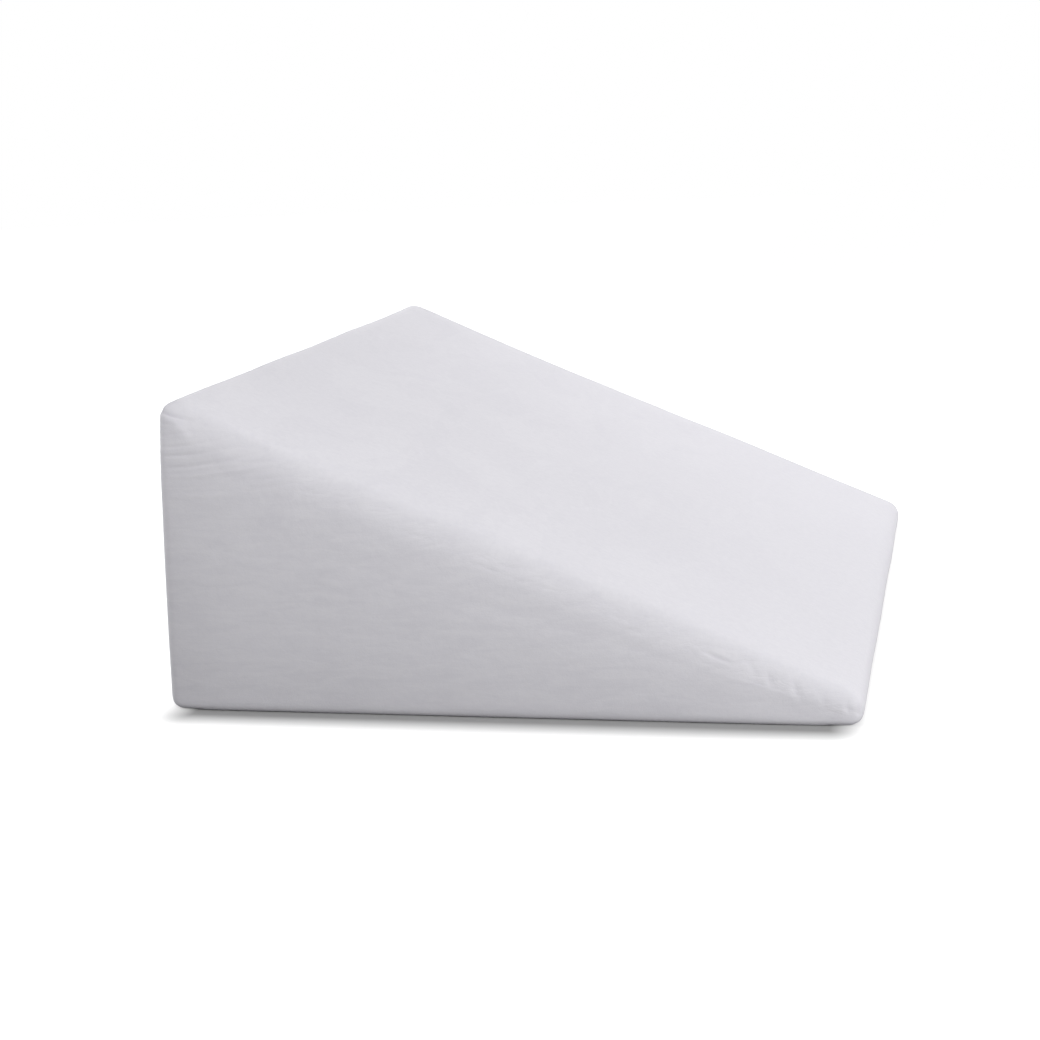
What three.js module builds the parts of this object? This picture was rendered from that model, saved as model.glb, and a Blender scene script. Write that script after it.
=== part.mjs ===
// A wedge pillow: one block of foam in a close-fitting cover with a short, soft nap.
// Millimetres, +Z up. The origin is the middle of the underside, which is flat.
// The tall end is at -X and the thin end at +X. The cover gathers at the sides, +Y and -Y.
import * as THREE from "three";
import { mergeVertices } from "three/addons/utils/BufferGeometryUtils.js";

// Driving dimensions
const LENGTH = 660;
const WIDTH = 914;
const RIDGE_HEIGHT = 305;
const TIP_THICKNESS = 26;
const TALL_END_LEAN = 9;

// Radii of the soft edges
const HEEL_RADIUS = 12;
const TIP_RADIUS = 13;
const RIDGE_RADIUS = 21.5;
const BASE_EDGE_RADIUS = 6;
const TALL_EDGE_RADIUS = 10;
const SLOPE_EDGE_RADIUS = 18;

// Along the slope the roll reaches this many times as far down the side as it reaches in from it,
// but never further than a share of the thickness.
const SLOPE_ROLL_DOWN = 2;
const THIN_ROLL = 0.5;

// Where the roll changes from one of these radii to another, it does so over twice this distance.
const SOFTEN = 20;
const SOFTEN_AT_TALL_END = 15;

// How far the side panels are drawn in at their edges, and how far in from an edge that dies away
const DRAWN_IN_AT_SLOPE = 6;
const DRAWN_IN_AT_BASE = 3;
const DRAWN_IN_AT_TALL_END = 4;
const CROWN_RISE = 80;

// How far the middle of the tall end stands out, and the slope sinks in its upper part
const TALL_END_CROWN = 5;
const SLOPE_HOLLOW = 2.5;

// Cloth colour and finish
const CLOTH_COLOUR = 0xe2e1e6;
const CLOTH_ROUGHNESS = 0.95;

// The lines of the mesh, one row per stretch: where the stretch ends and its number of cells. They
// are close together where the cover rolls over an edge and where it gathers near a tall top corner.
const BORDER = 26;
const GATHERS_REACH = 160;
const GATHERS_START = 200;
const ALONG_THE_SLOPE = [
  { to: BORDER, cells: 5 },
  { to: GATHERS_REACH, cells: 15 },
  { to: LENGTH - BORDER, cells: 6 },
  { to: LENGTH, cells: 5 },
];
const ACROSS_THE_WIDTH = [
  { to: BORDER, cells: 5 },
  { to: WIDTH - BORDER, cells: 9 },
  { to: WIDTH, cells: 5 },
];
const UP_THE_TALL_END = [
  { to: BORDER, cells: 5 },
  { to: GATHERS_START, cells: 3 },
  { to: RIDGE_HEIGHT - BORDER, cells: 29 },
  { to: RIDGE_HEIGHT, cells: 6 },
];

// The most of the wedge's thickness that each border takes where the wedge is thin
const THIN_BORDER = 0.3;

// Folds where the cover is drawn in at a side. Each runs over the side from one place to another,
// with its middle raised by arch above the straight line. It is depth deep, or stands out where
// that is negative, and width is the half-width of the dent.
const FOLDS = [
  // The gathers below the top corner of the tall end, from the top one down
  { fromX: -326, fromZ: 293, toX: -278, toZ: 281, arch: 1, depth: 1.9, width: 2.6 },
  { fromX: -330, fromZ: 279, toX: -292, toZ: 275, arch: 0, depth: 0.6, width: 2.6 },
  { fromX: -332, fromZ: 262, toX: -272, toZ: 270, arch: 2, depth: 0.9, width: 2.6 },
  { fromX: -332, fromZ: 255, toX: -244, toZ: 266, arch: -3, depth: 1.2, width: 2.6 },
  { fromX: -332, fromZ: 247, toX: -226, toZ: 260, arch: -4, depth: 1.3, width: 2.6 },
  { fromX: -332, fromZ: 235, toX: -208, toZ: 253, arch: -4, depth: 1.4, width: 2.8 },
  { fromX: -334, fromZ: 226, toX: -196, toZ: 240, arch: -2, depth: -0.7, width: 3.5 },
  { fromX: -238, fromZ: 222, toX: -172, toZ: 236, arch: -2, depth: 0.8, width: 3.5 },
  { fromX: -212, fromZ: 219, toX: -164, toZ: 228, arch: -1, depth: 0.7, width: 3.5 },
  { fromX: -322, fromZ: 208, toX: -226, toZ: 210, arch: 1, depth: -0.5, width: 4.0 },
  // The pucker in the rolled edge near the thin end
  { fromX: 184, fromZ: 71, toX: 214, toZ: 58, arch: 0, depth: 1.4, width: 3.2 },
];

// How far from its ends a fold dies away, and how far in from the side it reaches over the edges
const FOLD_END = 26;
const FOLD_REACH = 36;

const HALF_LENGTH = LENGTH / 2;
const HALF_WIDTH = WIDTH / 2;
const RIDGE_X = TALL_END_LEAN - HALF_LENGTH;
const SLOPE_ANGLE = Math.atan2(RIDGE_HEIGHT - TIP_THICKNESS, HALF_LENGTH - RIDGE_X);
const LEAN_ANGLE = Math.atan2(TALL_END_LEAN, RIDGE_HEIGHT);
const { clamp, lerp, smoothstep } = THREE.MathUtils;

// 1 in the middle of a span and 0 at its ends, rising as a smooth wave or as a parabola
const wave = (x, from, to) => Math.sin(Math.PI * clamp((x - from) / (to - from), 0, 1)) ** 2;
const dome = (x, half) => Math.max(0, 1 - (x / half) ** 2);

// How far a place is outside each panel, and less than zero inside the pillow
const belowBase = (p) => -p.z;
const pastTip = (p) => p.x - HALF_LENGTH;

function aboveSlope(p) {
  const rise = (p.x - RIDGE_X) * Math.sin(SLOPE_ANGLE) + (p.z - RIDGE_HEIGHT) * Math.cos(SLOPE_ANGLE);
  return rise + SLOPE_HOLLOW * wave(p.x, -HALF_LENGTH, HALF_LENGTH / 2);
}

function pastTallEnd(p) {
  const out = (-HALF_LENGTH - p.x) * Math.cos(LEAN_ANGLE) + p.z * Math.sin(LEAN_ANGLE);
  return out - TALL_END_CROWN * dome(p.y, HALF_WIDTH) * dome(p.z - RIDGE_HEIGHT / 2, RIDGE_HEIGHT / 2);
}

// Where two panels meet, the cover rolls over from one to the other with this radius.
function rolled(a, b, radius) {
  const corner = Math.hypot(Math.max(a + radius, 0), Math.max(b + radius, 0));
  return Math.min(Math.max(a, b), -radius) + corner;
}

// As rolled, but the edge follows an ellipse that reaches further along one panel than the other.
function rolledLong(a, b, reachA, reachB) {
  const u = (a + reachA) / reachA;
  const v = (b + reachB) / reachB;
  if (u <= 0 || v <= 0) return Math.max(a, b);
  return (Math.hypot(u, v) - 1) * Math.min(reachA, reachB);
}

// How far the cover rolls in from a side, and away from it, where the roll is longer along the slope
function sideRolls(p, slope, tallEnd) {
  const base = belowBase(p);
  const onBase = smoothstep(base - slope, -SOFTEN, SOFTEN);
  const nearest = tallEnd - Math.max(slope, base);
  const nearTallEnd = smoothstep(nearest, -SOFTEN_AT_TALL_END, SOFTEN_AT_TALL_END);
  const low = lerp(SLOPE_EDGE_RADIUS, BASE_EDGE_RADIUS, onBase);
  const thickness = TIP_THICKNESS + Math.max(0, HALF_LENGTH - p.x) * Math.tan(SLOPE_ANGLE);
  const inwards = Math.min(lerp(low, TALL_EDGE_RADIUS, nearTallEnd), thickness / 2);
  const stretched = 1 + (SLOPE_ROLL_DOWN - 1) * (1 - onBase) * (1 - nearTallEnd);
  return { inwards, away: Math.min(inwards * stretched, thickness * THIN_ROLL) };
}

// How far a side panel is drawn in: most at its edges, and nothing well inside it
function drawnIn(p, slope, tallEnd) {
  const nearEdge = (inside) => (1 - clamp(inside / CROWN_RISE, 0, 1)) ** 2;
  const atTallEnd = DRAWN_IN_AT_TALL_END * nearEdge(-tallEnd);
  return DRAWN_IN_AT_SLOPE * nearEdge(-slope) + DRAWN_IN_AT_BASE * nearEdge(p.z) + atTallEnd;
}

function foldHeight(fold, x) {
  const t = (x - fold.fromX) / (fold.toX - fold.fromX);
  return fold.fromZ + (fold.toZ - fold.fromZ) * t + 4 * fold.arch * t * (1 - t);
}

function foldDepth(p) {
  const ontoSide = smoothstep(Math.abs(p.y), HALF_WIDTH - FOLD_REACH, HALF_WIDTH);
  let depth = 0;
  for (const fold of FOLDS) {
    const end = Math.min(FOLD_END, (fold.toX - fold.fromX) / 2);
    const along = smoothstep(Math.min(p.x - fold.fromX, fold.toX - p.x), 0, end);
    const off = (p.z - foldHeight(fold, p.x)) / fold.width;
    depth += fold.depth * along * Math.exp(-off * off);
  }
  return depth * ontoSide;
}

// The skin of the pillow is where this is zero. It is less than zero inside.
function outside(p) {
  const slope = aboveSlope(p);
  const tallEnd = pastTallEnd(p);
  const top = rolled(rolled(slope, tallEnd, RIDGE_RADIUS), pastTip(p), TIP_RADIUS);
  const wedge = rolled(top, belowBase(p), p.x < 0 ? HEEL_RADIUS : TIP_RADIUS);
  const side = Math.abs(p.y) - HALF_WIDTH + drawnIn(p, slope, tallEnd);
  const { inwards, away } = sideRolls(p, slope, tallEnd);
  return rolledLong(wedge, side, away, inwards) + foldDepth(p);
}

// A place on the sharp-edged wedge is moved to the skin along its line from the core, which is a
// smaller wedge deep inside.
const CORE_INSET = 30;
const CORE_LEFT = CORE_INSET - HALF_LENGTH;
const CORE = new THREE.Triangle(
  new THREE.Vector3(CORE_LEFT, 0, CORE_INSET),
  new THREE.Vector3(HALF_LENGTH - TIP_THICKNESS / 2, 0, TIP_THICKNESS / 2),
  new THREE.Vector3(CORE_LEFT, 0, RIDGE_HEIGHT - 2 * CORE_INSET),
);

// The skin is looked for as far out as this, as a share of the way to the sharp wedge, by halving.
const FURTHEST = 1.4;
const HALVINGS = 44;
const ON_SKIN = 1e-9;

function onSkin(place) {
  if (Math.abs(outside(place)) < ON_SKIN) return place.clone();
  const core = CORE.closestPointToPoint(new THREE.Vector3(place.x, 0, place.z), new THREE.Vector3());
  core.y = clamp(place.y, CORE_INSET - HALF_WIDTH, HALF_WIDTH - CORE_INSET);
  let inner = 0;
  let outer = FURTHEST;
  const point = new THREE.Vector3();
  for (let i = 0; i < HALVINGS; i++) {
    const middle = (inner + outer) / 2;
    if (outside(point.lerpVectors(core, place, middle)) > 0) outer = middle;
    else inner = middle;
  }
  return point.lerpVectors(core, place, inner);
}

function meshLines(stretches) {
  const lines = [0];
  for (const { to, cells } of stretches) {
    const from = lines.at(-1);
    for (let i = 1; i <= cells; i++) lines.push(lerp(from, to, i / cells));
  }
  return lines;
}

// A place on the sharp-edged wedge, by its distance from the tall end, from one side and up the
// tall end. Where the wedge is thin, the lines near its base and its slope draw closer.
function placeOnWedge(along, across, up) {
  const low = new THREE.Vector3(along - HALF_LENGTH, across - HALF_WIDTH, 0);
  const high = new THREE.Vector3(
    lerp(RIDGE_X, HALF_LENGTH, along / LENGTH),
    across - HALF_WIDTH,
    lerp(RIDGE_HEIGHT, TIP_THICKNESS, along / LENGTH),
  );
  const thickness = low.distanceTo(high);
  const border = Math.min(BORDER, thickness * THIN_BORDER);
  const inner = (up - BORDER) / (RIDGE_HEIGHT - 2 * BORDER);
  let rise = lerp(border, thickness - border, inner);
  if (inner < 0) rise = (up / BORDER) * border;
  if (inner > 1) rise = thickness - ((RIDGE_HEIGHT - up) / BORDER) * border;
  return low.lerp(high, rise / thickness);
}

// A box with a corner at each crossing of the lines, moved to the sharp wedge and then to the skin
function makeSkin() {
  const lines = [ALONG_THE_SLOPE, ACROSS_THE_WIDTH, UP_THE_TALL_END].map(meshLines);
  const cells = lines.map((line) => line.length - 1);
  const skin = new THREE.BoxGeometry(...cells, ...cells);
  const corners = skin.getAttribute("position");
  for (let i = 0; i < corners.count; i++) {
    const steps = lines.map((line, axis) => {
      return line[Math.round(corners.getComponent(i, axis) + cells[axis] / 2)];
    });
    const point = onSkin(placeOnWedge(...steps));
    corners.setXYZ(i, point.x, point.y, point.z);
  }
  skin.deleteAttribute("normal");
  skin.deleteAttribute("uv");
  const closed = mergeVertices(skin);
  closed.computeBoundingBox();
  closed.translate(-(closed.boundingBox.min.x + closed.boundingBox.max.x) / 2, 0, 0);
  closed.computeVertexNormals();
  return closed;
}

function makePillow() {
  const cloth = new THREE.MeshStandardMaterial({
    color: CLOTH_COLOUR,
    roughness: CLOTH_ROUGHNESS,
    metalness: 0,
  });
  const pillow = new THREE.Mesh(makeSkin(), cloth);
  pillow.name = "wedge_pillow";
  return pillow;
}

const model = new THREE.Group();
model.add(makePillow());

export default model;
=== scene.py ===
# %% [markdown]
# # A wedge pillow
# This lesson builds a wide foam wedge in a close-fitting, short-napped cover. The plain solid of
# the same pillow comes from the CAD model, and gives the size and the place. The lesson makes
# the cover that is seen: a closed padded shape, swelled a little as cloth, with its gathers.

# %% Load the frame
import math

import bpy
import numpy as np
from mathutils import Matrix, Vector


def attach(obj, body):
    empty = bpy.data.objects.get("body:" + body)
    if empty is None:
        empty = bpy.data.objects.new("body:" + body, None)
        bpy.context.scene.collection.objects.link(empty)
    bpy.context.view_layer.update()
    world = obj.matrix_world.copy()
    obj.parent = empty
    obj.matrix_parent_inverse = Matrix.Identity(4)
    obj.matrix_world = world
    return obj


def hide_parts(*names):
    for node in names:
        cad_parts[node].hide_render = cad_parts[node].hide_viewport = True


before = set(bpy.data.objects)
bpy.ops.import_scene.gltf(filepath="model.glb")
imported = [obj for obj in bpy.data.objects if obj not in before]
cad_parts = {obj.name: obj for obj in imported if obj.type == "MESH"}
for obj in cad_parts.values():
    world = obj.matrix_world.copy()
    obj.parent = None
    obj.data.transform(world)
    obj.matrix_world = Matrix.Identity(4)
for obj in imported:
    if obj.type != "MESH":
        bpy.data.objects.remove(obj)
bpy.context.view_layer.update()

# %% [markdown]
# ## The sizes
# Everything is in metres, with +Z up, the tall end at -X, the thin end at +X and the sides at +Y
# and -Y. These are the same named sizes as the solid has, so the two agree. Foam blocks of this
# kind are cut to whole inches: 26 in long, 36 in wide and 12 in high before the edges are rounded.

# %% Sizes of the foam block
LENGTH = 0.660
WIDTH = 0.914
RIDGE_HEIGHT = 0.305
TIP_THICKNESS = 0.026
TALL_END_LEAN = 0.009

HALF_LENGTH = LENGTH / 2
HALF_WIDTH = WIDTH / 2
RIDGE_X = TALL_END_LEAN - HALF_LENGTH
SLOPE_ANGLE = math.atan2(RIDGE_HEIGHT - TIP_THICKNESS, HALF_LENGTH - RIDGE_X)
LEAN_ANGLE = math.atan2(TALL_END_LEAN, RIDGE_HEIGHT)
print("slope", round(math.degrees(SLOPE_ANGLE), 2), "degrees")

# %% Radii of the soft edges, and how far the panels stand out
HEEL_RADIUS = 0.012
TIP_RADIUS = 0.013
RIDGE_RADIUS = 0.0215
BASE_EDGE_RADIUS = 0.006
TALL_EDGE_RADIUS = 0.010
SLOPE_EDGE_RADIUS = 0.018
SLOPE_ROLL_DOWN = 2.0
THIN_ROLL = 0.5

DRAWN_IN_AT_SLOPE = 0.006
DRAWN_IN_AT_BASE = 0.003
DRAWN_IN_AT_TALL_END = 0.004
CROWN_RISE = 0.080
TALL_END_CROWN = 0.005
SLOPE_HOLLOW = 0.0025

# %% [markdown]
# ## The skin of the pillow
# A padded block has no sharp edge anywhere, and its panels meet in rolls of different softness.
# One could bevel a box, but a bevel can't change its radius along an edge. Here the skin is the
# place where one function is zero: each panel says how far a point is outside it, and where two
# panels meet, their distances are combined so that the cover rolls over with a given radius.

# %% Smooth steps, waves and rolled edges
def smoothstep(value, low, high):
    """0 below low, 1 above high, and 3tt - 2ttt between, where t goes from 0 to 1."""
    t = np.clip((value - low) / (high - low), 0, 1)
    return t * t * (3 - 2 * t)


def mix(a, b, share):
    """a plus share times the way from a to b."""
    return a + (b - a) * share


def wave(x, start, end):
    """The square of a half sine wave: 0 at start and end, 1 half-way."""
    return np.sin(np.pi * np.clip((x - start) / (end - start), 0, 1)) ** 2


def dome(x, half):
    """A parabola: 1 at the middle and 0 at half on both sides."""
    return np.maximum(0, 1 - (x / half) ** 2)


def rolled(a, b, radius):
    """The larger of a and b inside, and the distance from a circle of the radius at the edge."""
    corner = np.hypot(np.maximum(a + radius, 0), np.maximum(b + radius, 0))
    return np.minimum(np.maximum(a, b), -radius) + corner


# %% How far a point is outside the sloping panel and the tall end
def above_slope(x, z):
    """Distance from the sloping plane, with a shallow hollow in its upper part."""
    rise = (x - RIDGE_X) * math.sin(SLOPE_ANGLE) + (z - RIDGE_HEIGHT) * math.cos(SLOPE_ANGLE)
    return rise + SLOPE_HOLLOW * wave(x, -HALF_LENGTH, HALF_LENGTH / 2)


def past_tall_end(x, y, z):
    """Distance from the leaning end plane, less a dome that stands out in its middle."""
    out = (-HALF_LENGTH - x) * math.cos(LEAN_ANGLE) + z * math.sin(LEAN_ANGLE)
    half_height = RIDGE_HEIGHT / 2
    return out - TALL_END_CROWN * dome(y, HALF_WIDTH) * dome(z - half_height, half_height)


# %% The radius at which the cover rolls onto the sides
SOFTEN = 0.020
SOFTEN_AT_TALL_END = 0.015


def side_rolls(x, z, slope, tall_end):
    """Two reaches of the roll: in from the side, and away from the side, where it is longer along
    the slope. Neither is more than a share of the thickness."""
    base = -z
    on_base = smoothstep(base - slope, -SOFTEN, SOFTEN)
    nearest = tall_end - np.maximum(slope, base)
    near_tall_end = smoothstep(nearest, -SOFTEN_AT_TALL_END, SOFTEN_AT_TALL_END)
    low = mix(SLOPE_EDGE_RADIUS, BASE_EDGE_RADIUS, on_base)
    thickness = np.maximum(TIP_THICKNESS + (HALF_LENGTH - x) * math.tan(SLOPE_ANGLE), TIP_THICKNESS)
    inwards = np.minimum(mix(low, TALL_EDGE_RADIUS, near_tall_end), thickness / 2)
    stretched = 1 + (SLOPE_ROLL_DOWN - 1) * (1 - on_base) * (1 - near_tall_end)
    return inwards, np.minimum(inwards * stretched, thickness * THIN_ROLL)


def rolled_long(a, b, reach_a, reach_b):
    """As rolled, but the edge follows an ellipse with its own reach along each panel."""
    u, v = (a + reach_a) / reach_a, (b + reach_b) / reach_b
    corner = (np.hypot(u, v) - 1) * np.minimum(reach_a, reach_b)
    return np.where((u > 0) & (v > 0), corner, np.maximum(a, b))


def near_edge(inside):
    """A parabola: 1 at the edge, and 0 from the distance CROWN_RISE inside it."""
    return (1 - np.clip(inside / CROWN_RISE, 0, 1)) ** 2


def drawn_in(slope, tall_end, z):
    """How far the side panel is drawn in: most at its edges, and nothing well inside it."""
    at_tall_end = DRAWN_IN_AT_TALL_END * near_edge(-tall_end)
    return DRAWN_IN_AT_SLOPE * near_edge(-slope) + DRAWN_IN_AT_BASE * near_edge(z) + at_tall_end


def outside(points):
    """How far each point is outside the skin: the panels rolled into each other one by one."""
    x, y, z = points.T
    slope = above_slope(x, z)
    tall_end = past_tall_end(x, y, z)
    top = rolled(rolled(slope, tall_end, RIDGE_RADIUS), x - HALF_LENGTH, TIP_RADIUS)
    wedge = rolled(top, -z, np.where(x < 0, HEEL_RADIUS, TIP_RADIUS))
    side = np.abs(y) - HALF_WIDTH + drawn_in(slope, tall_end, z)
    inwards, away = side_rolls(x, z, slope, tall_end)
    return rolled_long(wedge, side, away, inwards)


# %% [markdown]
# ## A grid over the six panels
# The skin has six panels: the slope, two sides, the tall end, the thin end and the underside.
# Each is a grid of two parameters here, and neighbours share the corners on their common edge, so
# the mesh is closed without any merging. The lines of the grid are close together where the cover
# rolls over an edge, and where it is gathered.

# %% The lines of the grid: where each stretch ends, and its number of cells
BORDER = 0.026
ALONG_LINES = ((BORDER, 7), (0.160, 27), (0.500, 30), (LENGTH - BORDER, 24), (LENGTH, 5))
ACROSS_LINES = ((BORDER, 7), (WIDTH - BORDER, 30), (WIDTH, 7))
UP_LINES = ((BORDER, 5), (0.190, 11), (RIDGE_HEIGHT - BORDER, 34), (RIDGE_HEIGHT, 8))


def grid_lines(stretches):
    """Evenly spaced positions in each stretch, one after another."""
    ends = [0.0] + [end for end, cells in stretches]
    parts = [np.linspace(ends[n], ends[n + 1], cells + 1)[1:] for n, (end, cells) in enumerate(stretches)]
    return np.concatenate([[0.0], *parts])


ALONG, ACROSS, UP = grid_lines(ALONG_LINES), grid_lines(ACROSS_LINES), grid_lines(UP_LINES)
print("lines along, across and up:", len(ALONG), len(ACROSS), len(UP))

# %% Corners and faces of a closed box of lines
def panel(fixed_axis, at, counts, turned):
    """All the cells of one panel as four corner triples: one axis is fixed, two run."""
    first, second = [axis for axis in range(3) if axis != fixed_axis]
    a, b = np.meshgrid(np.arange(counts[first]), np.arange(counts[second]), indexing="ij")
    steps = [(0, 0), (1, 0), (1, 1), (0, 1)]
    if turned:
        steps.reverse()
    corners = np.empty((a.size, 4, 3), dtype=int)
    for n, (da, db) in enumerate(steps):
        corners[:, n, fixed_axis] = at
        corners[:, n, first] = (a + da).ravel()
        corners[:, n, second] = (b + db).ravel()
    return corners


COUNTS = (len(ALONG) - 1, len(ACROSS) - 1, len(UP) - 1)
PANELS = [panel(0, 0, COUNTS, True), panel(0, COUNTS[0], COUNTS, False)]
PANELS += [panel(1, 0, COUNTS, False), panel(1, COUNTS[1], COUNTS, True)]
PANELS += [panel(2, 0, COUNTS, True), panel(2, COUNTS[2], COUNTS, False)]
CELLS = np.concatenate(PANELS)
LATTICE, FACES = np.unique(CELLS.reshape(-1, 3), axis=0, return_inverse=True)
FACES = FACES.reshape(-1, 4)
print("corners", len(LATTICE), "cells", len(FACES))

# %% From lines to the sharp wedge
THIN_BORDER = 0.3


def place_on_wedge(along, across, up):
    """Straight between the base and the slope, with narrower borders where the wedge is thin."""
    share = along / LENGTH
    low = np.stack([along - HALF_LENGTH, across - HALF_WIDTH, np.zeros_like(along)], axis=1)
    high_x = mix(RIDGE_X, HALF_LENGTH, share)
    high_z = mix(RIDGE_HEIGHT, TIP_THICKNESS, share)
    high = np.stack([high_x, across - HALF_WIDTH, high_z], axis=1)
    thickness = np.linalg.norm(high - low, axis=1)
    border = np.minimum(BORDER, thickness * THIN_BORDER)
    inner = (up - BORDER) / (RIDGE_HEIGHT - 2 * BORDER)
    rise = mix(border, thickness - border, inner)
    rise = np.where(inner < 0, up / BORDER * border, rise)
    rise = np.where(inner > 1, thickness - (RIDGE_HEIGHT - up) / BORDER * border, rise)
    return low + (high - low) * (rise / thickness)[:, None]


# %% The core that the skin is pushed out from
CORE_INSET = 0.030
CORE_X = np.array([CORE_INSET - HALF_LENGTH, HALF_LENGTH - TIP_THICKNESS / 2, CORE_INSET - HALF_LENGTH])
CORE_Z = np.array([CORE_INSET, TIP_THICKNESS / 2, RIDGE_HEIGHT - 2 * CORE_INSET])


def nearest_in_core(points):
    """The nearest place on the three sides of a smaller wedge, seen from the side."""
    x, y, z = points.T
    best_gap = np.full(len(x), np.inf)
    core = np.stack([x, np.clip(y, CORE_INSET - HALF_WIDTH, HALF_WIDTH - CORE_INSET), z], axis=1)
    for n in range(3):
        dx, dz = CORE_X[n - 1] - CORE_X[n], CORE_Z[n - 1] - CORE_Z[n]
        t = np.clip(((x - CORE_X[n]) * dx + (z - CORE_Z[n]) * dz) / (dx * dx + dz * dz), 0, 1)
        near_x, near_z = CORE_X[n] + t * dx, CORE_Z[n] + t * dz
        gap = np.hypot(x - near_x, z - near_z)
        closer = gap < best_gap
        core[:, 0] = np.where(closer, near_x, core[:, 0])
        core[:, 2] = np.where(closer, near_z, core[:, 2])
        best_gap = np.minimum(gap, best_gap)
    return core


# %% Push the grid onto the skin
FURTHEST = 1.4
HALVINGS = 40


def onto_skin(points, inset):
    """Halve the way from the core outwards until each point is inset below the skin."""
    core = nearest_in_core(points)
    inner, outer = np.zeros(len(points)), np.full(len(points), FURTHEST)
    for _ in range(HALVINGS):
        middle = (inner + outer) / 2
        beyond = outside(core + (points - core) * middle[:, None]) > -inset
        outer = np.where(beyond, middle, outer)
        inner = np.where(beyond, inner, middle)
    return core + (points - core) * inner[:, None]


WEDGE = place_on_wedge(ALONG[LATTICE[:, 0]], ACROSS[LATTICE[:, 1]], UP[LATTICE[:, 2]])
SKIN = onto_skin(WEDGE, 0.0)
CENTRE_X = (SKIN[:, 0].min() + SKIN[:, 0].max()) / 2
SKIN[:, 0] -= CENTRE_X
print("skin box", SKIN.min(0).round(4), SKIN.max(0).round(4))

# %% [markdown]
# ## The cover as cloth
# The real cover is a knitted bag pulled over foam that is a little too big for it, so it is tight
# everywhere and swells slightly between its edges. The cloth simulation does that: the mesh starts
# just inside the skin, air pressure without gravity blows it out for twenty frames, and a cap
# keeps every point near the measured shape. The underside is held flat, as it lies on a floor.

# %% Helpers for meshes
def make_mesh(name, points, faces):
    """A smooth-shaded mesh object at the origin."""
    mesh = bpy.data.meshes.new(name)
    mesh.from_pydata(points.tolist(), [], faces.tolist())
    mesh.polygons.foreach_set("use_smooth", np.ones(len(faces), dtype=bool))
    mesh.validate()
    made = bpy.data.objects.new(name, mesh)
    bpy.context.scene.collection.objects.link(made)
    return made


def read_points(mesh):
    """The places of the corners as rows of x, y and z."""
    flat = np.empty(len(mesh.vertices) * 3)
    mesh.vertices.foreach_get("co", flat)
    return flat.reshape(-1, 3)


def write_points(mesh, points):
    """Put the rows of x, y and z back into the mesh."""
    mesh.vertices.foreach_set("co", np.ascontiguousarray(points).ravel())
    mesh.update()


# %% Swell the cover
SWELL = 0.0009
SWELL_CAP = 0.003
PRESSURE = 4
FRAMES = 20
FLAT_UNDER = 0.0005
FOAM_HOLD = 0.3
FOAM_STIFFNESS = 0.5


def swell(points):
    """Blow the closed grid out from just inside the skin, and cap how far each point moves."""
    start = onto_skin(WEDGE, SWELL)
    start[:, 0] -= CENTRE_X
    resting = np.flatnonzero(points[:, 2] < FLAT_UNDER)
    start[resting, 2] = 0
    cover = make_mesh("swelling_cover", start, FACES)
    group = cover.vertex_groups.new(name="held by foam")
    group.add(list(range(len(start))), FOAM_HOLD, "REPLACE")
    group.add(resting.tolist(), 1.0, "REPLACE")
    cloth = cover.modifiers.new("cover cloth", "CLOTH")
    cloth.settings.use_pressure = True
    cloth.settings.uniform_pressure_force = PRESSURE
    cloth.settings.effector_weights.gravity = 0
    cloth.settings.vertex_group_mass = "held by foam"
    cloth.settings.pin_stiffness = FOAM_STIFFNESS
    cloth.collision_settings.use_collision = False
    cloth.point_cache.frame_end = FRAMES
    for number in range(1, FRAMES + 1):
        bpy.context.scene.frame_set(number)
    blown = cover.evaluated_get(bpy.context.evaluated_depsgraph_get())
    moved = read_points(blown.to_mesh()) - start
    blown.to_mesh_clear()
    bpy.context.scene.frame_set(1)
    bpy.data.objects.remove(cover)
    travel = np.linalg.norm(moved, axis=1, keepdims=True)
    print("moved on average", travel.mean().round(4), "at most", travel.max().round(4))
    return start + moved * np.minimum(1, SWELL_CAP / np.maximum(travel, 1e-9))


COVER = swell(SKIN)
print("cover box", COVER.min(0).round(4), COVER.max(0).round(4))

# %% One level of subdivision, applied
rough_cover = make_mesh("rough_cover", COVER, FACES)
subdivision = rough_cover.modifiers.new("finer", "SUBSURF")
subdivision.levels = 1
subdivision.render_levels = 1
finer = rough_cover.evaluated_get(bpy.context.evaluated_depsgraph_get())
pillow_mesh = bpy.data.meshes.new_from_object(finer)
pillow_mesh.name = "pillow_cover"
bpy.data.objects.remove(rough_cover)
pillow = bpy.data.objects.new("pillow_cover", pillow_mesh)
bpy.context.scene.collection.objects.link(pillow)
print("faces after subdivision", len(pillow_mesh.polygons))

# %% [markdown]
# ## Gathers and creases
# Below each tall top corner, the cover is drawn in and lies in a fan of gathers, which run over
# the rolled edge and die away on the side. A few more puckers show near the thin end. They could
# be sculpted, but a table keeps them exact: each crease runs between two places on the side, with
# its middle raised by arch. Its cross-section is a valley with raised shoulders, as when
# cloth that is too long for its place folds into a groove and stands up beside it. Below the
# slope's edge, the cover also crumples all along. Those crumples are very fine, so the material
# draws them as bumps, and reads from the mesh how much of them each place gets.

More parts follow.
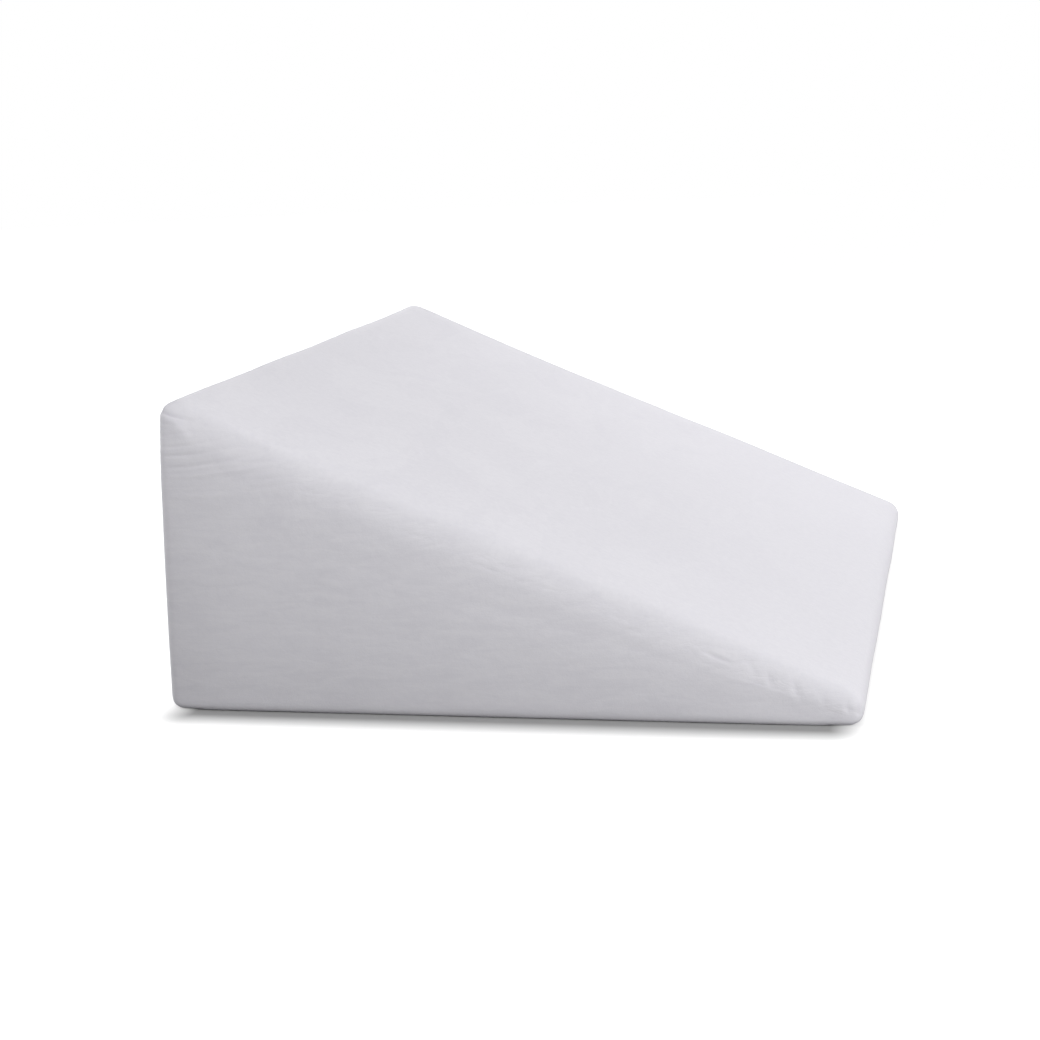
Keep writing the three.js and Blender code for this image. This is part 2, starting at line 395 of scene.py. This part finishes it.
# %% The creases that can be counted
MM = 0.001
CREASE_COLUMNS = ("from_x", "from_z", "to_x", "to_z", "arch", "depth", "width")
CREASES = (
    (-332, 292, -280, 276, 1, 2.8, 2.0),
    (-330, 279, -292, 275, 0, 0.35, 1.8),
    (-330, 262, -270, 270, 2, 0.40, 1.7),
    (-330, 255, -244, 266, -3, 0.50, 1.7),
    (-330, 247, -226, 260, -4, 0.55, 1.7),
    (-330, 235, -208, 253, -4, 0.58, 1.9),
    (-332, 226, -196, 240, -2, -0.30, 2.4),
    (-238, 222, -172, 236, -2, 0.40, 2.6),
    (-226, 216, -200, 222, 0, 0.30, 2.6),
    (-212, 219, -164, 228, -1, 0.40, 3.0),
    (-322, 208, -226, 210, 1, -0.20, 2.6),
    (181, 70, 217, 55, 0, 1.6, 2.2),
    (224, 64, 235, 42, 1, 0.80, 3.2),
    (243, 56, 252, 30, -1, 1.15, 3.2),
    (258, 52, 263, 26, 1, -0.60, 3.4),
    (267, 48, 276, 18, -1, 1.15, 3.2),
    (290, 38, 296, 12, 1, 0.80, 3.4),
    (313, 30, 319, 4, 0, 1.25, 3.0),
)

# %% Small wrinkles, too many to count: their number, and the ranges in mm to draw them from
WRINKLE_SEED = 7
EDGE_WRINKLES = 34
EDGE_RANGES = (
    ("x", -200, 180), ("below the slope", 8, 34), ("length", 12, 34), ("fall in degrees", 2, 20),
    ("depth", 0.12, 0.40), ("width", 2.0, 3.4), ("arch", -1, 1),
)
SIDE_WRINKLES = 22
SIDE_RANGES = (
    ("x", -310, 120), ("share of the height", 0.12, 0.72), ("run", 40, 110), ("rise", -4, 4),
    ("depth", -0.16, 0.16), ("width", 4, 7), ("arch", -2, 2),
)


def slope_height(x):
    """How high the sharp slope is at x."""
    return TIP_THICKNESS + (HALF_LENGTH - x) * math.tan(SLOPE_ANGLE)


def draw(rng, ranges, count):
    """For each named range in turn, one random number per wrinkle."""
    return [rng.uniform(low, high, count) for name, low, high in ranges]


def small_wrinkles():
    """Rows like those of the table, scattered below the rolled edge and over the side."""
    rng = np.random.default_rng(WRINKLE_SEED)
    x, below, length, fall, depth, width, arch = draw(rng, EDGE_RANGES, EDGE_WRINKLES)
    z = slope_height(x * MM) / MM - below
    fall = np.radians(fall)
    edge = [x, z, x + length * np.cos(fall), z - length * np.sin(fall), arch, depth, width]
    x, share, run, rise, depth, width, arch = draw(rng, SIDE_RANGES, SIDE_WRINKLES)
    z = slope_height(x * MM) / MM * share
    side = [x, z, x + run, z + rise, arch, depth, width]
    return np.concatenate([np.stack(edge, axis=1), np.stack(side, axis=1)])


ALL_CREASES = np.concatenate([np.array(CREASES, dtype=float), small_wrinkles()])
print(len(ALL_CREASES), "creases with columns", CREASE_COLUMNS)

# %% The depth of all creases at a place on the side
CREASE_END = 32
CREASE_REACH = 0.036
SHOULDER = 0.45
SHOULDER_WIDTH = 2.1


def crease_depth(points):
    """Bell-shaped valleys less wider, lower bells beside them, fading in from the side."""
    x, z = points[:, 0] / MM, points[:, 2] / MM
    total = np.zeros(len(x))
    for from_x, from_z, to_x, to_z, arch, depth, width in ALL_CREASES:
        length = math.hypot(to_x - from_x, to_z - from_z)
        way_x, way_z = (to_x - from_x) / length, (to_z - from_z) / length
        on = (x - from_x) * way_x + (z - from_z) * way_z
        t = on / length
        across = (z - from_z) * way_x - (x - from_x) * way_z - 4 * arch * t * (1 - t)
        along = smoothstep(np.minimum(on, length - on), 0, min(CREASE_END, length / 2))
        off = across / width
        valley = np.exp(-off ** 2) - SHOULDER / SHOULDER_WIDTH * np.exp(-(off / SHOULDER_WIDTH) ** 2)
        total += depth * along * valley
    return total * MM * smoothstep(np.abs(points[:, 1]), HALF_WIDTH - CREASE_REACH, HALF_WIDTH)


# %% The unevenness of foam and cover
UNEVEN_SEED = 11
UNEVEN_WAVES = 26
UNEVEN_HEIGHT = 0.0011
UNEVEN_SHORTEST = 0.055
UNEVEN_LONGEST = 0.260


def unevenness(points):
    """A sum of seeded plane waves in all directions, none on the underside."""
    rng = np.random.default_rng(UNEVEN_SEED)
    total = np.zeros(len(points))
    for _ in range(UNEVEN_WAVES):
        direction = rng.normal(size=3)
        direction /= np.linalg.norm(direction)
        length = rng.uniform(UNEVEN_SHORTEST, UNEVEN_LONGEST)
        phase = rng.uniform(0, 2 * np.pi)
        total += length * np.sin(points @ direction * 2 * np.pi / length + phase)
    total *= UNEVEN_HEIGHT / np.abs(total).max()
    return total * smoothstep(points[:, 2], 0, 2 * BASE_EDGE_RADIUS)


# %% Where the cover crumples
CRUMPLE_TOP = 0.010
CRUMPLE_MIDDLE = 0.016
CRUMPLE_BOTTOM = 0.038
CRUMPLE_FROM_X = -0.250
CRUMPLE_FULL_X = -0.170
SIDE_STARTS = 0.022
SIDE_IN_FULL = 0.006


def on_a_side(points):
    """0 on the slope, and 1 on the sides."""
    return smoothstep(np.abs(points[:, 1]), HALF_WIDTH - SIDE_STARTS, HALF_WIDTH - SIDE_IN_FULL)


def crumpling(points):
    """1 on the sides a little below the slope's edge, and 0 on the edge and further down."""
    below = (slope_height(points[:, 0]) - points[:, 2]) * math.cos(SLOPE_ANGLE)
    from_top = smoothstep(below, 0, CRUMPLE_TOP) * smoothstep(points[:, 0], CRUMPLE_FROM_X, CRUMPLE_FULL_X)
    return on_a_side(points) * from_top * (1 - smoothstep(below, CRUMPLE_MIDDLE, CRUMPLE_BOTTOM))


def write_numbers(mesh, name, values):
    """Store one number per corner under a name that the material can read."""
    stored = mesh.attributes.new(name, "FLOAT", "POINT")
    stored.data.foreach_set("value", values.astype(np.float32))


# %% Press the creases in
places = read_points(pillow_mesh)
normals = np.empty(len(places) * 3)
pillow_mesh.vertex_normals.foreach_get("vector", normals)
depths = crease_depth(places)
places += normals.reshape(-1, 3) * (unevenness(places) - depths)[:, None]
places[:, 2] = np.maximum(places[:, 2], 0)
write_points(pillow_mesh, places)
# The depth of the creases is kept for the material, which paints shade into their valleys.
write_numbers(pillow_mesh, "gather", depths / MM)
write_numbers(pillow_mesh, "crumple", crumpling(places))
write_numbers(pillow_mesh, "side", on_a_side(places))
print("deepest crease", depths.max().round(5), "highest shoulder", depths.min().round(5))
print("pillow box", places.min(0).round(4), places.max(0).round(4))

# %% [markdown]
# ## The nap
# The cover is a pale grey velour with a faint lilac cast. Its pile is very short. Each fibre is
# too fine to see, but the pile lies one way in some places and another way where a hand has
# stroked it or someone has leant on it, and that shows as soft marks, a shade lighter or darker.
# A node group makes these from noise at several scales: grain, clumps of fibres, patches of
# crushed nap, and long broken streaks. The slope shows patches, and the sides show streaks.

# %% Helpers for node trees
def add_node(tree, kind, label, **values):
    """A new node with a label and with values for its inputs by name."""
    node = tree.nodes.new(kind)
    node.label = label
    for name, value in values.items():
        node.inputs[name.replace("_", " ")].default_value = value
    return node


def join(tree, source, target):
    """A link from an output socket to an input socket."""
    tree.links.new(source, target)


# %% The node group for a short nap
nap = bpy.data.node_groups.new("Short nap", "ShaderNodeTree")
NAP_INPUTS = (
    ("Grain Scale", 700.0), ("Clump Scale", 170.0), ("Patch Scale", 12.0),
    ("Streak Scale", 85.0), ("Streaked", 0.5),
)
for name, value in NAP_INPUTS:
    socket = nap.interface.new_socket(name, in_out="INPUT", socket_type="NodeSocketFloat")
    socket.default_value = value
nap.interface.new_socket("Place", in_out="INPUT", socket_type="NodeSocketVector")
for name in ("Tone", "Height"):
    nap.interface.new_socket(name, in_out="OUTPUT", socket_type="NodeSocketFloat")
given = nap.nodes.new("NodeGroupInput")
result = nap.nodes.new("NodeGroupOutput")


def noise_in(tree, place, scale, label, **values):
    """A noise texture that reads its place from a socket, and its scale too if that is given."""
    node = add_node(tree, "ShaderNodeTexNoise", label, **values)
    join(tree, place, node.inputs["Vector"])
    if scale is not None:
        join(tree, scale, node.inputs["Scale"])
    return node.outputs["Fac"]


def math_of(tree, operation, *terms):
    """One sum or product of sockets and numbers."""
    node = tree.nodes.new("ShaderNodeMath")
    node.operation = operation
    for term, socket in zip(terms, node.inputs):
        if isinstance(term, float):
            socket.default_value = term
        else:
            join(tree, term, socket)
    return node.outputs["Value"]


# %% Grain and clumps of fibres
here = given.outputs["Place"]
grain = noise_in(nap, here, given.outputs["Grain Scale"], "grain", Detail=3.0, Roughness=0.6)
clumps = noise_in(nap, here, given.outputs["Clump Scale"], "clumps of fibres", Detail=4.0, Roughness=0.65)

# %% Patches where the nap was stroked the other way: ragged edges, and most of them high up
PATCH_MARK = 0.070
PATCH_FROM, PATCH_TO = 0.53, 0.55
SPECKLE_GAIN, SPECKLE_LEAST = 1.2, 0.3
PATCH_SHIFTS = (("lighter patches", (0.0, 0.0, 0.0), 1.0), ("darker patches", (3.0, 5.0, 0.0), -1.0))
heights = nap.nodes.new("ShaderNodeSeparateXYZ")
join(nap, here, heights.inputs["Vector"])
high_up = add_node(nap, "ShaderNodeMapRange", "high up", From_Min=0.03, From_Max=0.17, To_Min=0.15)
join(nap, heights.outputs["Z"], high_up.inputs["Value"])
speckled = math_of(nap, "MULTIPLY_ADD", grain, SPECKLE_GAIN, SPECKLE_LEAST)
marks = 0.0
for label, shift, sign in PATCH_SHIFTS:
    stroked = add_node(
        nap, "ShaderNodeMapping", label, Location=shift, Scale=(0.85, 0.38, 0.9), Rotation=(0.0, 0.0, 0.2)
    )
    join(nap, here, stroked.inputs["Vector"])
    ragged = noise_in(
        nap, stroked.outputs["Vector"], given.outputs["Patch Scale"], label,
        Detail=8.0, Roughness=0.66, Distortion=0.7,
    )
    edge = add_node(nap, "ShaderNodeMapRange", label, From_Min=PATCH_FROM, From_Max=PATCH_TO)
    join(nap, ragged, edge.inputs["Value"])
    mark = math_of(nap, "MULTIPLY", edge.outputs["Result"], sign * PATCH_MARK)
    marks = math_of(nap, "MULTIPLY_ADD", mark, speckled, marks)
marks = math_of(nap, "MULTIPLY", marks, high_up.outputs["Result"])

# %% Broken streaks along the pillow, and what the group gives out
CLUMP_GAIN, CLUMP_SHIFT = 0.5, 0.24
STREAK_GAIN, STREAK_SHIFT = 1.3, -0.14
GRAIN_HEIGHT = 0.7
long_way = add_node(nap, "ShaderNodeMapping", "long way", Scale=(0.30, 1.0, 1.5), Rotation=(0.0, 0.1, 0.2))
join(nap, here, long_way.inputs["Vector"])
streaks = noise_in(
    nap, long_way.outputs["Vector"], given.outputs["Streak Scale"], "streaks",
    Detail=6.0, Roughness=0.62, Distortion=0.8,
)
lie = add_node(nap, "ShaderNodeMix", "lie of the nap")
join(nap, given.outputs["Streaked"], lie.inputs["Factor"])
join(nap, math_of(nap, "MULTIPLY_ADD", clumps, CLUMP_GAIN, CLUMP_SHIFT), lie.inputs["A"])
join(nap, math_of(nap, "MULTIPLY_ADD", streaks, STREAK_GAIN, STREAK_SHIFT), lie.inputs["B"])
join(nap, math_of(nap, "ADD", lie.outputs["Result"], marks), result.inputs["Tone"])
marked_grain = math_of(nap, "MULTIPLY_ADD", grain, GRAIN_HEIGHT, marks)
join(nap, math_of(nap, "ADD", marked_grain, clumps), result.inputs["Height"])

# %% The material of the cover
cloth_material = bpy.data.materials.new("cover_cloth")
cloth_material.use_nodes = True
tree = cloth_material.node_tree
shader = tree.nodes["Principled BSDF"]
shader.inputs["Roughness"].default_value = 0.9
shader.inputs["Specular IOR Level"].default_value = 0.15
shader.inputs["Sheen Weight"].default_value = 0.45
shader.inputs["Sheen Roughness"].default_value = 0.4
shader.inputs["Sheen Tint"].default_value = (0.97, 0.96, 1.0, 1.0)

coordinates = tree.nodes.new("ShaderNodeTexCoord")
nap_here = tree.nodes.new("ShaderNodeGroup")
nap_here.node_tree = nap
join(tree, coordinates.outputs["Object"], nap_here.inputs["Place"])
side_share = tree.nodes.new("ShaderNodeAttribute")
side_share.attribute_name = "side"
streaked = add_node(tree, "ShaderNodeMapRange", "streaked on the sides", To_Min=0.06, To_Max=0.55)
join(tree, side_share.outputs["Fac"], streaked.inputs["Value"])
join(tree, streaked.outputs["Result"], nap_here.inputs["Streaked"])

# %% Colour from the lie of the nap, with painted shade in the valleys of the gathers
SHADES = ((0.34, (0.700, 0.690, 0.735, 1)), (0.62, (0.750, 0.740, 0.780, 1)))
# Painted shade: the deeper a place lies in a crease, the more its colour is multiplied towards this darker
# one, standing in for shade in the valleys.
GROOVE_PAINTED_SHADE = (0.70, 0.69, 0.73, 1)
GROOVE_FROM_MM, GROOVE_FULL_MM, PAINTED_SHADE_MOST_IN_GROOVE = 0.5, 2.4, 0.6
shades = tree.nodes.new("ShaderNodeValToRGB")
for element, (position, colour) in zip(shades.color_ramp.elements, SHADES):
    element.position = position
    element.color = colour
join(tree, nap_here.outputs["Tone"], shades.inputs["Fac"])

gather_depth = tree.nodes.new("ShaderNodeAttribute")
gather_depth.attribute_name = "gather"
painted_shade_in_groove = add_node(
    tree, "ShaderNodeMapRange", "painted shade in a groove",
    From_Min=GROOVE_FROM_MM, From_Max=GROOVE_FULL_MM, To_Max=PAINTED_SHADE_MOST_IN_GROOVE,
)
join(tree, gather_depth.outputs["Fac"], painted_shade_in_groove.inputs["Value"])
painted_groove_shade = tree.nodes.new("ShaderNodeMix")
painted_groove_shade.data_type = "RGBA"
painted_groove_shade.blend_type = "MULTIPLY"
painted_groove_shade.inputs["B"].default_value = GROOVE_PAINTED_SHADE
join(tree, painted_shade_in_groove.outputs["Result"], painted_groove_shade.inputs["Factor"])
join(tree, shades.outputs["Color"], painted_groove_shade.inputs["A"])
join(tree, painted_groove_shade.outputs["Result"], shader.inputs["Base Color"])

# %% Crumples of the cover below the slope's edge, and the grain on top of them
CRUMPLE_HEIGHT = 0.0009
NAP_HEIGHT = 0.0006
NAP_STRENGTH = 0.35
crumple_share = tree.nodes.new("ShaderNodeAttribute")
crumple_share.attribute_name = "crumple"
slanted = add_node(
    tree, "ShaderNodeMapping", "slanted", Scale=(0.45, 0.6, 1.25), Rotation=(0.0, 0.32, 0.0)
)
join(tree, coordinates.outputs["Object"], slanted.inputs["Vector"])
creasing = noise_in(
    tree, slanted.outputs["Vector"], None, "crumples",
    Scale=85.0, Detail=4.0, Roughness=0.55, Distortion=0.9,
)
crumpled = math_of(tree, "MULTIPLY", creasing, crumple_share.outputs["Fac"])
soft_bump = add_node(tree, "ShaderNodeBump", "crumples", Strength=1.0, Distance=CRUMPLE_HEIGHT)
join(tree, crumpled, soft_bump.inputs["Height"])
bump = add_node(tree, "ShaderNodeBump", "nap", Strength=NAP_STRENGTH, Distance=NAP_HEIGHT)
join(tree, nap_here.outputs["Height"], bump.inputs["Height"])
join(tree, soft_bump.outputs["Normal"], bump.inputs["Normal"])
join(tree, bump.outputs["Normal"], shader.inputs["Normal"])
pillow_mesh.materials.clear()
pillow_mesh.materials.append(cloth_material)
print("nodes in the cover's material:", len(tree.nodes) + len(nap.nodes))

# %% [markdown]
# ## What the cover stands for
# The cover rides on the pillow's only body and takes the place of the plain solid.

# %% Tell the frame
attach(pillow, "root")
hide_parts("wedge_pillow")

# %% [markdown]
# ## The floor and the light
# The pillow lies on a plain white floor in a white room, as in a catalogue picture. The floor
# glows white for the camera, and the glow is held back in a band round the pillow's footprint,
# so that a thin soft shadow shows under the side: a painted shadow, darkened further by the real
# shade from the lamps. A real studio does this with a sheet of white paper that has its own lamps.
# Here the floor and the room give out light that only the camera sees, so that it doesn't brighten
# the side of the pillow.

# %% A round white floor
FLOOR_RADIUS = 9.0
FLOOR_CORNERS = 96
angles = np.linspace(0, 2 * np.pi, FLOOR_CORNERS, endpoint=False)
rim = FLOOR_RADIUS * np.stack([np.cos(angles), np.sin(angles), np.zeros(FLOOR_CORNERS)], axis=1)
floor_mesh = bpy.data.meshes.new("studio_floor")
floor_mesh.from_pydata(rim.tolist(), [], [list(range(FLOOR_CORNERS))])
floor = bpy.data.objects.new("studio_floor", floor_mesh)
bpy.context.scene.collection.objects.link(floor)

# %% Where the floor's glow is held back round the pillow, to paint a shadow
paper_material = bpy.data.materials.new("white_paper")
paper_material.use_nodes = True
paper = paper_material.node_tree
paper.nodes.clear()
# The painted shadow: the glow rises from nothing SHADOW_START past a side to full at SHADOW_DEPTH, and
# beside an end from SHADOW_FADE inside it to SHADOW_END past it.
SHADOW_START = 0.006
SHADOW_DEPTH = 0.052
SHADOW_FADE = 0.030
SHADOW_END = 0.012

floor_place = paper.nodes.new("ShaderNodeTexCoord")
axes = paper.nodes.new("ShaderNodeSeparateXYZ")
join(paper, floor_place.outputs["Object"], axes.inputs["Vector"])
steps = paper.nodes.new("ShaderNodeCombineXYZ")
for axis, label, start, end in (
    ("X", "beside an end", HALF_LENGTH - SHADOW_FADE, HALF_LENGTH + SHADOW_END),
    ("Y", "in front of a side", HALF_WIDTH + SHADOW_START, HALF_WIDTH + SHADOW_DEPTH),
):
    off_middle = paper.nodes.new("ShaderNodeMath")
    off_middle.operation = "ABSOLUTE"
    join(paper, axes.outputs[axis], off_middle.inputs[0])
    reach = add_node(paper, "ShaderNodeMapRange", label, From_Min=start, From_Max=end)
    join(paper, off_middle.outputs["Value"], reach.inputs["Value"])
    join(paper, reach.outputs["Result"], steps.inputs[axis])
glow_past_painted_shadow = paper.nodes.new("ShaderNodeVectorMath")
glow_past_painted_shadow.operation = "LENGTH"
join(paper, steps.outputs["Vector"], glow_past_painted_shadow.inputs[0])

# %% The floor's material
PAPER_SEEN = (0.40, 0.40, 0.40, 1)
PAPER_UNSEEN = (0.35, 0.35, 0.35, 1)
seen = add_node(paper, "ShaderNodeBsdfDiffuse", "paper as seen", Color=PAPER_SEEN)
glow = add_node(paper, "ShaderNodeEmission", "glow, held back to paint a shadow", Color=(1, 1, 1, 1))
# The glow's strength paints the shadow: none next to the pillow and full beyond the band; the real shading
# of the lamps on the paper adds to it.
join(paper, glow_past_painted_shadow.outputs["Value"], glow.inputs["Strength"])
both = paper.nodes.new("ShaderNodeAddShader")
unseen = add_node(paper, "ShaderNodeBsdfDiffuse", "paper as it lights the pillow", Color=PAPER_UNSEEN)
ray = paper.nodes.new("ShaderNodeLightPath")
choice = paper.nodes.new("ShaderNodeMixShader")
surface = paper.nodes.new("ShaderNodeOutputMaterial")
join(paper, seen.outputs["BSDF"], both.inputs[0])
join(paper, glow.outputs["Emission"], both.inputs[1])
join(paper, ray.outputs["Is Camera Ray"], choice.inputs["Fac"])
join(paper, unseen.outputs["BSDF"], choice.inputs[1])
join(paper, both.outputs["Shader"], choice.inputs[2])
join(paper, choice.outputs["Shader"], surface.inputs["Surface"])
floor_mesh.materials.append(paper_material)

# %% A room that is white to the camera and gives the pillow no light
world = bpy.data.worlds.new("white room")
world.use_nodes = True
bpy.context.scene.world = world
room = world.node_tree
room.nodes.clear()
white = add_node(room, "ShaderNodeBackground", "white to the camera", Color=(1, 1, 1, 1), Strength=1.0)
dark = add_node(room, "ShaderNodeBackground", "dark to the pillow", Color=(0, 0, 0, 1), Strength=0.0)
sight = room.nodes.new("ShaderNodeLightPath")
either = room.nodes.new("ShaderNodeMixShader")
sky = room.nodes.new("ShaderNodeOutputWorld")
join(room, sight.outputs["Is Camera Ray"], either.inputs["Fac"])
join(room, dark.outputs["Background"], either.inputs[1])
join(room, white.outputs["Background"], either.inputs[2])
join(room, either.outputs["Shader"], sky.inputs["Surface"])

# %% Soft lamps round the pillow, all at one distance from its middle
LAMP_DISTANCE = 1.5
LAMP_AIM = Vector((0, 0, 0.1))
LAMPS = (
    # name, degrees round from the near side towards the thin end, degrees up, width, watts
    ("lamp_front_left_high", -20, 60, 1.0, 1.9),
    ("lamp_front_left", -20, 35, 0.8, 4.35),
    ("lamp_front", 0, 35, 0.8, 2.2),
    ("lamp_front_right_low", 20, 12, 0.8, 3.45),
    ("lamp_thin_end_near_low", 60, 12, 0.8, 7.1),
    ("lamp_thin_end_far_low", 120, 12, 0.8, 6.4),
    ("lamp_far_corner", 150, 35, 0.8, 2.5),
    ("lamp_far_corner_high", 150, 60, 1.0, 11.2),
    ("lamp_behind", 210, 12, 0.8, 8.0),
    ("lamp_tall_end", -90, 12, 0.8, 9.5),
)
for name, round_degrees, up_degrees, width, watts in LAMPS:
    turn, rise = math.radians(round_degrees), math.radians(up_degrees)
    towards = Vector((math.sin(turn) * math.cos(rise), -math.cos(turn) * math.cos(rise), math.sin(rise)))
    data = bpy.data.lights.new(name, "AREA")
    data.size = width
    data.energy = watts
    lamp = bpy.data.objects.new(name, data)
    lamp.location = LAMP_AIM + LAMP_DISTANCE * towards
    lamp.rotation_euler = (-towards).to_track_quat("-Z", "Y").to_euler()
    bpy.context.scene.collection.objects.link(lamp)
    print(name, "stands at", [round(v, 2) for v in lamp.location])

# %% [markdown]
# ## The camera
# A long lens stands low in front of the near side, a little beyond the thin end, and looks back
# towards the tall end. Its place was found by matching the outline of the pillow to the outline in
# the picture. Three turns aim it: yaw about the vertical, pitch down, and a slight roll.

# %% Camera
CAMERA_PLACE = Vector((0.4233, -2.2384, 0.5592))
CAMERA_YAW = math.radians(12.609)
CAMERA_PITCH = math.radians(11.469)
CAMERA_ROLL = math.radians(-2.253)
LENS = 71.49
SENSOR = 36.0

ahead_flat = Vector((-math.sin(CAMERA_YAW), math.cos(CAMERA_YAW), 0))
ahead = ahead_flat * math.cos(CAMERA_PITCH) - Vector((0, 0, math.sin(CAMERA_PITCH)))
right_level = Vector((math.cos(CAMERA_YAW), math.sin(CAMERA_YAW), 0))
up_level = right_level.cross(ahead)
right = math.cos(CAMERA_ROLL) * right_level + math.sin(CAMERA_ROLL) * up_level
up = math.cos(CAMERA_ROLL) * up_level - math.sin(CAMERA_ROLL) * right_level

lens_data = bpy.data.cameras.new("camera")
lens_data.lens = LENS
lens_data.sensor_width = SENSOR
camera = bpy.data.objects.new("camera", lens_data)
bpy.context.scene.collection.objects.link(camera)
camera.matrix_world = Matrix.Translation(CAMERA_PLACE) @ Matrix((right, up, -ahead)).transposed().to_4x4()
bpy.context.scene.camera = camera
bpy.context.scene.view_settings.view_transform = "Standard"
print("camera looks along", [round(v, 3) for v in ahead])
